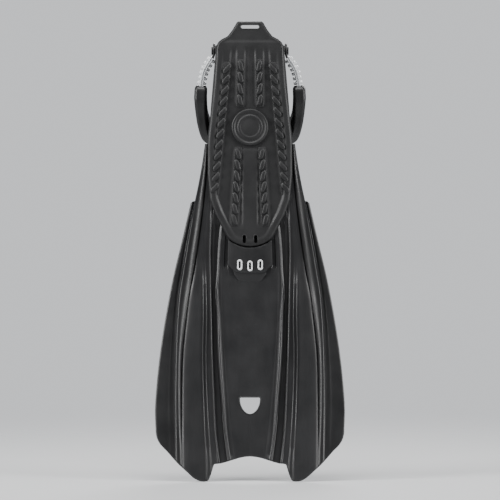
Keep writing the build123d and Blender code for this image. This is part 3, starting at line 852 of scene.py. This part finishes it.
def strand(x, z, slant, foot, height, twist):
    """A rope-like strand: a long dome that is slanted and slightly S-shaped, on the sole."""
    section = box_section(0.85, 22) * (STRAND_LENGTH / 2, STRAND_WIDTH / 2)
    levels = (1, -0.5), (1, 0.15), (0.97, 0.45), (0.88, 0.72), (0.7, 0.9), (0.42, 0.985), (0.15, 1)
    rings = []
    for size, share in levels:
        u, v = size * section.T
        v = v + twist * np.sin(pi * u / STRAND_LENGTH * 1.8)
        run, rise = u * cos(slant) - v * sin(slant), u * sin(slant) + v * cos(slant)
        rings.append(on_sole(x + run, z + rise, foot + (height - foot) * share))
    return tube(rings)


def tread(row, name, side):
    """A row of strands on a low base strip."""
    (x0, z0), (x1, z1), count, slant = TREADS[row]
    base = [(x0 + 4.6, z0 + 5.5), (x0 - 4.6, z0 + 5.5), (x1 - 4.6, z1 - 5.5), (x1 + 4.6, z1 - 5.5)]
    solids = [slab(refine(base), lambda x, z, height: on_sole(side * x, z, height), -1.8, 0.1, 0.4)]
    angle = radians(slant if side > 0 else 180 - slant)
    for share in np.linspace(0, 1, count):
        x, z = x0 + share * (x1 - x0), z0 - 3 + share * (z1 - z0 + 6)
        solids.append(strand(side * x, z, angle, -0.4, 2.5, 0.8 * side))
    add(f"{row}_{name}", join(solids), sharp=60)


def sole_badge():
    """A plain round badge with two raised rings, as (radius, height)."""
    profile = [
        (23.2, -1.0), (23.2, 0.9), (22.9, 1.5), (22.2, 1.95), (21.2, 2.1), (20.2, 1.95), (19.4, 1.5),
        (18.9, 1.0), (18.0, 0.85), (16.6, 0.85), (15.8, 1.05), (15.3, 1.45), (14.6, 1.7), (13.4, 1.75),
        (12.4, 1.6), (11.8, 1.25), (11.2, 1.1), (9.5, 1.2), (7.0, 1.5), (4.0, 1.75), (1.5, 1.85),
        (0.1, 1.86),
    ]
    solid = lathe(profile, lambda x, z, height: on_sole(x, z + BADGE_Z, height))
    add("sole_badge", solid)


sole_plate()
for row in TREADS:
    for name, side in SIDES.items():
        tread(row, name, side)
sole_badge()

# ---- power plate and its rings
RINGS = {"vent_ring_left": (-13, 271), "vent_ring_middle": (0, 269.5), "vent_ring_right": (13, 271)}


def mirrored_outline(half):
    """A closed outline from its right half, which starts on the centre line."""
    return half + [(-x, z) for x, z in half[::-1] if x > 0]


def on_step(x, z, height):
    """The lower step slopes from the plate down to the blade."""
    slope = 1.4 * smooth((z - 249) / 12) - 1.5
    return on_sole(x, z, np.where(height > -2, height + slope, height))


def power_plate():
    half = [
        (0, 260.6), (14, 261), (18, 261.8), (20.6, 263.4), (26.6, 269.6), (27.7, 271), (28, 272),
        (27.4, 302.6), (22, 298.6), (13, 294.6), (6, 293), (0, 292.6),
    ]
    outline = refine(mirrored_outline(half), 1.6)
    plate = new_object("power_plate", *slab(outline, on_sole, -4.5, 1.8, 0.9, 0.5))
    cut(plate, [prism(stadium(centre, 8.6, 2.8), on_sole, -3.5, 6) for centre in RINGS.values()])
    step_half = [(0, 249.3), (11.5, 249.6), (14.6, 250.8), (20.4, 259), (20.6, 264)]
    step = slab(refine(mirrored_outline(step_half), 1.4), on_step, -4.5, 1.1, 0.7)
    add_trim("power_plate_step", step, "power_plate")
    attach(plate, "power_plate")
    for name, centre in RINGS.items():
        outer, inner = stadium(centre, 14, 6.8), stadium(centre, 8.6, 2.6)
        add(name, ring(outer, inner, on_sole, 1.5, 3.4))


power_plate()

# ---- foot pocket and insole
POCKET_HALF = line(
    (41.6, 549), (45.5, 505), (49, 460), (50.5, 415), (49, 370), (41, 332), (32, 312), (23, 293),
)
POCKET_DEPTH = line(
    (108, 549), (104, 505), (94, 460), (76, 415), (56, 370), (38, 332), (27, 312), (18, 293),
)
POCKET_SIDE = line((60, 549), (56, 505), (46, 460), (34, 415), (22, 370), (13, 332), (9, 312), (6, 293))
NOSE_Z, NOSE = (290.8, 291.1, 292, 293.6, 296, 299, 303), (0.02, 0.36, 0.6, 0.78, 0.9, 0.97, 1.0)
POCKET_ROWS = np.concatenate([[0, 0.002, 0.006, 0.013, 0.023, 0.036], np.linspace(0.055, 0.93, 54),
                              [0.945, 0.957, 0.967, 0.975, 0.981, 0.986, 0.99, 0.994, 0.997, 1.0]])


def pocket_loop(z):
    """Cross-section of the pocket at a height, from the middle of the floor round to itself, as (x, y)."""
    size = np.interp(z, NOSE_Z, NOSE)
    side_top = max(3.2, POCKET_SIDE(z) * size)
    a = max(POCKET_HALF(z) * size, 0.3)
    top = max(POCKET_DEPTH(z) * size, side_top + 0.3)
    corner = min(3.0, a * 0.1)
    half = [(a * k, 0.0) for k in (0.0, 0.25, 0.5, 0.72, 0.88)]
    for turn in np.linspace(0, pi / 2, 5):
        half.append((a - corner + corner * sin(turn), corner - corner * cos(turn)))
    for k in np.linspace(0, 1, 8)[1:]:
        half.append((a, corner + (side_top - corner) * k))
    for turn in np.linspace(0, pi / 2, 23)[1:]:
        half.append((a * cos(turn), side_top + (top - side_top) * sin(turn)))
    right_side = np.array(half)
    left_side = (right_side * (-1, 1))[::-1][1:-1]
    return np.concatenate([right_side, left_side]) + (0, POCKET_FLOOR)


LOOP = len(pocket_loop(400.0))


def rim_height(y):
    """Height at which the pocket's opening cuts a wall at this depth; the corner at the heel is rounded."""
    slope = HEEL_Z - (y - 32) / 0.66
    return slope - 3 * np.logaddexp(0, (slope - HEEL_Z) / 3)


def wall(i, z, left, share):
    """Outer and inner point of the pocket's wall at a place i of its loop, with left mm up to the rim."""
    loop = pocket_loop(z)
    ahead, behind = loop[(i + 1) % LOOP], loop[i - 1]
    normal = np.array([ahead[1] - behind[1], behind[0] - ahead[0]])
    normal /= max(1e-6, np.linalg.norm(normal))
    steps = abs(i - LOOP / 2)  # along the loop from the top of the instep
    bead = 1.5 * bell((left - 2.6) / 2.6) if 6 < i < LOOP - 6 else 0.0
    ribs = sum(bell((steps - where) / 1.25) for where in (0, 9.5, 19)) if steps < 22 else 0
    ribs *= 1.3 * smooth((left - 9) / 8) * smooth((z - 318) / 14)
    cuff = 0.9 * smooth((26 - left) / 3) * smooth((left - 8) / 3) if steps < 27 else 0
    foot_welt = 0
    if 8 < i < LOOP - 8:
        foot_welt = 1.3 * bell((loop[i][1] - 8) / 2.4) * smooth((z - 296) / 20)
    out = loop[i] + normal * (bead + ribs + cuff + foot_welt)
    thick = (POCKET_WALL + 0.6 * bead) * np.interp(share, (0, 0.03), (0.2, 1))
    inside = loop[i] - normal * thick * (0.62 if i < 6 or i > LOOP - 6 else 1)
    return (*out, z), (inside[0], max(inside[1], 7.0), z + 5 * (1 - share) ** 8)


def foot_pocket():
    ends = np.full(LOOP, HEEL_Z)
    for _ in range(30):
        depth_now = np.array([pocket_loop(z)[i][1] for i, z in enumerate(ends)])
        ends = 0.5 * ends + 0.5 * rim_height(depth_now)
    outer, inner = [], []
    for share in POCKET_ROWS:
        for i, z in enumerate(POCKET_LOW + share * (ends - POCKET_LOW)):
            out, inside = wall(i, z, ends[i] - z, share)
            outer.append(out)
            inner.append(inside)
    rows, count = len(POCKET_ROWS), len(outer)
    faces = tube_faces(rows, LOOP, caps=False) + tube_faces(rows, LOOP, first=count, caps=False)
    last = (rows - 1) * LOOP
    for c in range(LOOP):
        d = (c + 1) % LOOP
        faces.append((last + c, last + d, count + last + d, count + last + c))
    faces.append(tuple(range(LOOP)))
    faces.append(tuple(count + c for c in range(LOOP)))
    pocket = new_object("foot_pocket", np.array(outer + inner), faces)
    cut(pocket, [prism(outline, on_sole, -12, -3) for outline in DRAINS])
    attach(pocket, "foot_pocket")


def insole():
    """A thin insole with wavy grip grooves."""
    half_x = (0.5, 14, 19, 34.2, 43.2, 45.2, 43.8, 39.8, 36.3, 35)
    heights = (315, 316, 317.6, 330, 370, 415, 460, 505, 546, 548)
    z, share = np.meshgrid(np.linspace(315, 548, 190), np.linspace(-1, 1, 45), indexing="ij")
    half = np.interp(z, heights, half_x)
    x = half * share
    edge = half - np.abs(x)
    groove = 0.45 * np.clip(np.sin(z * 2 * pi / 9 + 0.175 * np.abs(x)), 0.4, 1) * smooth((edge - 4) / 2)
    upper = np.stack([x, 8.6 - groove - 0.6 * (1 - rounding(edge, 1.5, 0.0)), z], -1)
    lower = np.stack([x, np.full_like(x, 7.05), z], -1)
    add("insole", closed_sheet(upper, lower))


foot_pocket()
insole()

# ---- strap posts and caps, as (radius, distance from the fin's middle)
POST_PROFILE = [
    (0.1, 35.6), (4.6, 35.6), (5.6, 35.9), (6.0, 36.5), (6.0, 37.4), (4.0, 37.6), (4.0, 47.5), (0.1, 47.5),
]
CAP_PROFILE = [
    (0.1, 47.4), (4.8, 47.4), (5.2, 47.7), (5.2, 48.5), (5.0, 48.9), (4.5, 49.2), (3.9, 49.2), (3.5, 49.0),
    (3.0, 48.8), (1.5, 48.95), (0.1, 49.0),
]
for name, side in SIDES.items():
    for kind, profile in (("strap_post", POST_PROFILE), ("post_cap", CAP_PROFILE)):
        add(f"{kind}_{name}", lathe(profile, across(POST, side), 40))

# ---- strap
# Section of the ribbed bands, -1 to 1 through the thickness and the width, with a groove on each face
QUARTER = np.array([
    (1, 0), (1, 0.7), (0.97, 0.88), (0.86, 0.97), (0.68, 1), (0.42, 1), (0.34, 0.97), (0.3, 0.9), (0, 0.88),
])
UPPER_HALF = np.concatenate([QUARTER, (QUARTER[:-1] * (-1, 1))[::-1]])
GROOVED = np.concatenate([(QUARTER[1:2] * (1, -1)), UPPER_HALF, (UPPER_HALF[2:-1] * (1, -1))[::-1]])
# Middle lines of the strap end and the ribbed band, as (x, reach)
END_PATH = curve([(45.7, -9.4), (45.7, -4), (45.7, 1.5), (45.9, 5), (47, 7.8), (48.6, 10.2)], 34)
BAND_PATH = curve([(47.6, 7.6), (49.2, 10.6), (53.6, 17.2), (57.4, 24.4), (60.1, 33.6), (61.7, 42.6),
                   (62.2, 46.4)], 60)


def on_strap(x, reach, width):
    """Points of the hanging strap: reach runs from the posts to the heel pad."""
    points = POST + np.multiply.outer(reach, REACH_DIR) + np.multiply.outer(width, WIDTH_DIR)
    points[..., 0] = x
    return points


def ribbon(path, half_thick, half_widths, section, side):
    """A band along a path of (x, reach) points, rounded at both ends."""
    run = unit(np.gradient(path, axis=0))
    normals = np.stack([-run[:, 1], run[:, 0]], -1)
    rounded = {0: 0.55, 1: 0.85, 2: 0.97}
    rings = []
    for i, (spot, normal, half_width) in enumerate(zip(path, normals, half_widths)):
        size = rounded.get(min(i, len(path) - 1 - i), 1.0)
        x, reach = (spot + section[:, :1] * half_thick * size * normal).T
        rings.append(on_strap(side * x, reach, section[:, 1] * half_width * (size if size > 0.6 else 0.8)))
    return tube(rings)


def strap_end(name, side):
    """A strap end, round about its post."""
    reach = END_PATH[:, 1]
    eye = np.sqrt(np.clip(9.6 ** 2 - reach ** 2, 1, None))
    half_widths = np.where(reach < 0, eye, 9.6 - 1.2 * smooth(reach / 10))
    add(f"strap_end_{name}", ribbon(END_PATH, 1.5, half_widths, box_section(0.35, 28), side))


def strap_ribs(name, side):
    """A grooved band with cross ribs, which stretches from the strap to the pad."""
    at = lengths(BAND_PATH)
    run = unit(np.gradient(BAND_PATH, axis=0))
    solids = [ribbon(BAND_PATH, 2.4, np.full(len(BAND_PATH), 9.9), GROOVED, side)]
    for k in range(RIB_COUNT):
        reach = RIB_FIRST + RIB_PITCH * k
        spot = [np.interp(reach, at, BAND_PATH[:, j]) for j in (0, 1)]
        way = [np.interp(reach, at, run[:, j]) for j in (0, 1)]
        along = (side * way[0], *(way[1] * REACH_DIR[1:]))
        through = (side * -way[1], *(way[0] * REACH_DIR[1:]))
        centre = on_strap(side * spot[0], spot[1], 0.0)
        solids.append(pebble(centre, [along, through, tuple(WIDTH_DIR)], (2.0, 5.9, 8.6), 0.42))
    piece = new_object(f"strap_ribs_{name}", *join(solids), sharp=50)
    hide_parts(f"strap_ribs_{name}")
    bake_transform(piece)


for name, side in SIDES.items():
    strap_end(name, side)
    strap_ribs(name, side)

# The pad is a loop: its ends carry on the ribbed sections and its middle lies over the instep.
PAD_TILT = radians(66)
PAD_RUN = np.array([0, sin(PAD_TILT), -cos(PAD_TILT)])
PAD_ACROSS = np.array([0, cos(PAD_TILT), sin(PAD_TILT)])
PAD_MIDDLE = PIN - 10.5 * PAD_RUN
PAD_START = POST + 44 * REACH_DIR
HANDLES = np.array([PAD_START, PAD_START + 38 * REACH_DIR, PAD_MIDDLE - 45 * PAD_RUN, PAD_MIDDLE])
# Stations: share of the side curve, distance from the middle, thickness, width
STATIONS = np.array([
    (0.0, 62.2, 15.5, 24), (0.09, 62.8, 16.4, 30), (0.2, 62.8, 16, 34), (0.38, 61.5, 14.6, 34),
    (0.57, 58.6, 13.8, 34), (0.74, 49.5, 13.4, 34), (0.89, 34.5, 13.2, 34), (0.97, 18, 13.4, 34),
    (1.0, 0, 14, 34),
])


def side_curve(share):
    """Points of the pad's middle line, seen from the side, and the direction that it runs in."""
    t = share[:, None]
    weights = ((1 - t) ** 3, 3 * t * (1 - t) ** 2, 3 * t * t * (1 - t), t ** 3)
    slopes = (3 * (1 - t) ** 2, 6 * t * (1 - t), 3 * t * t)
    spots = sum(w * h for w, h in zip(weights, HANDLES))
    return spots, unit(sum(w * h for w, h in zip(slopes, np.diff(HANDLES, axis=0))))


def pad_section():
    """A rounded box with two shallow grooves along the outside and a seam along each edge."""
    points = []
    for u, v in box_section(0.42, 64):
        dent = 0.07 * bell((abs(v) - 0.5) / 0.06) if abs(u) > 0.8 else 0
        seam_line = 0.03 * bell((abs(u) - 0.3) / 0.1) if abs(v) > 0.8 else 0
        points.append((u * (1 - dent), v * (1 - seam_line)))
    return np.array(points)


def heel_pad():
    """The pad's loop and the two ears that hold the pin of the pull tab."""
    stations = curve(STATIONS, 60)
    stations[:, 0] = np.clip(stations[:, 0], 0, 1)
    stations = np.concatenate([stations, stations[::-1][1:] * (1, -1, 1, 1)])
    share, from_middle, thicknesses, widths = stations.T
    spots, runs = side_curve(share)
    spots[:, 0] = from_middle
    ahead = unit(np.gradient(spots, axis=0))
    broad = np.stack([np.zeros(len(runs)), -runs[:, 2], runs[:, 1]], -1)
    thick = unit(np.cross(broad, ahead))
    section = pad_section()
    ends = np.minimum(np.arange(len(spots)), np.arange(len(spots))[::-1])
    shrink = np.interp(ends, (0, 1, 2, 3), (0.72, 0.9, 0.98, 1.0))
    rings = [
        spot + size * (t / 2 * section[:, :1] * a + w / 2 * section[:, 1:] * b)
        for spot, size, t, w, a, b in zip(spots, shrink, thicknesses, widths, thick, broad)
    ]
    solids = [tube(rings)]
    for side in (1, -1):
        centre = PIN - 1.6 * PAD_RUN + (side * 14.0, 0, 0)
        solids.append(pebble(centre, [(1, 0, 0), tuple(PAD_RUN), tuple(PAD_ACROSS)], (2, 5.0, 3.6)))
    add("heel_pad", join(solids))


def tab_pin():
    profile = [(0.1, -16.4), (1.2, -16.4), (1.5, -16.1), (1.5, 16.1), (1.2, 16.4), (0.1, 16.4)]
    add("tab_pin", lathe(profile, across(PIN), 24))


def on_tab(x, reach, height):
    """Points of the pull tab, which hangs from its pin across the pad's outer face."""
    points = PIN - np.multiply.outer(reach, PAD_ACROSS) + np.multiply.outer(height, PAD_RUN)
    points[..., 0] = x
    return points


def pull_tab():
    """A rounded loop with a barrel about the pin."""
    outer, inner = soft_box(11.6, -1.4, 33, 7), soft_box(6.2, 8, 26.4, 5.2)
    solids = [ring(outer, inner, lambda x, z, height, s=face: on_tab(x, z, s * height), -0.2, 1.8)
              for face in (1, -1)]
    barrel = [(1.6, -11.6), (2.7, -11.6), (3.0, -11.2), (3.0, 11.2), (2.7, 11.6), (1.6, 11.6)]
    solids.append(lathe(barrel, across(PIN), 28))
    add("pull_tab", join(solids))


heel_pad()
tab_pin()
pull_tab()

# ---- stage


def add_floor(half_size=4):
    """A plain pale floor that fades into an equally plain background."""
    floor_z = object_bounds()[0][2] - 0.0003
    corners = [(x * half_size, y * half_size, floor_z) for x, y in ((-1, -1), (1, -1), (1, 1), (-1, 1))]
    mesh = bpy.data.meshes.new("floor")
    mesh.from_pydata(corners, [], [(0, 1, 2, 3)])
    floor = bpy.data.objects.new("floor", mesh)
    bpy.context.scene.collection.objects.link(floor)
    pale = bpy.data.materials.new("floor")
    pale.use_nodes = True
    tree = pale.node_tree
    surface = tree.nodes["Principled BSDF"]
    fill(tree, surface, {"Base Color": (0.6, 0.605, 0.61, 1), "Roughness": 0.9})
    place = shader(tree, "TexCoord").outputs["Object"]
    reach = shader(tree, "VectorMath", {0: place}, operation="LENGTH").outputs["Value"]
    fade = shader(tree, "MapRange", {"Value": reach, "From Min": 0.3, "From Max": 1.5},
                  interpolation_type="SMOOTHSTEP").outputs["Result"]
    clear = shader(tree, "BsdfTransparent").outputs["BSDF"]
    mixed = shader(tree, "MixShader", {0: fade, 1: surface.outputs["BSDF"], 2: clear})
    fill(tree, tree.nodes["Material Output"], {"Surface": mixed.outputs["Shader"]})
    mesh.materials.append(pale)


def area_light(name, place, size, watts):
    """A soft light, placed from the fin's middle and aimed at it."""
    data = bpy.data.lights.new(name, "AREA")
    data.shape = "RECTANGLE"
    data.size, data.size_y = size
    data.energy = watts
    light = bpy.data.objects.new(name, data)
    light.location = Vector(place) + Vector((0, 0, CENTRE_Z))
    light.rotation_euler = (-Vector(place)).to_track_quat("-Z", "Y").to_euler()
    bpy.context.scene.collection.objects.link(light)


def add_world(light=0.25, backdrop=0.82):
    """A pale surround, dimmer as a light than the camera sees it."""
    world = bpy.data.worlds.new("studio")
    world.use_nodes = True
    tree = world.node_tree
    seen = shader(tree, "LightPath").outputs["Is Camera Ray"]
    strength = shader(tree, "MapRange", {"Value": seen, "To Min": light, "To Max": backdrop})
    background = {"Color": (0.95, 0.97, 1, 1), "Strength": strength.outputs["Result"]}
    fill(tree, tree.nodes["Background"], background)
    bpy.context.scene.world = world


def add_camera(seen_height=0.6325, lens=180, sensor=36):
    """A long lens straight at the sole, at the distance where this height fills the frame."""
    data = bpy.data.cameras.new("camera")
    data.lens = lens
    data.sensor_width = sensor
    camera = bpy.data.objects.new("camera", data)
    camera.location = (0, -seen_height * lens / sensor, CENTRE_Z)
    camera.rotation_euler = (pi / 2, 0, 0)
    bpy.context.scene.collection.objects.link(camera)
    bpy.context.scene.camera = camera


add_floor()
area_light("key", (-1.7, -0.85, 0.7), (0.7, 1.7), 62)
area_light("fill", (1.7, -0.75, 0.4), (0.6, 1.7), 46)
area_light("top", (0, -0.7, 1.9), (1.4, 0.8), 34)
area_light("back", (0.4, 2.0, 1.3), (1.4, 1.2), 44)
add_world()
add_camera()
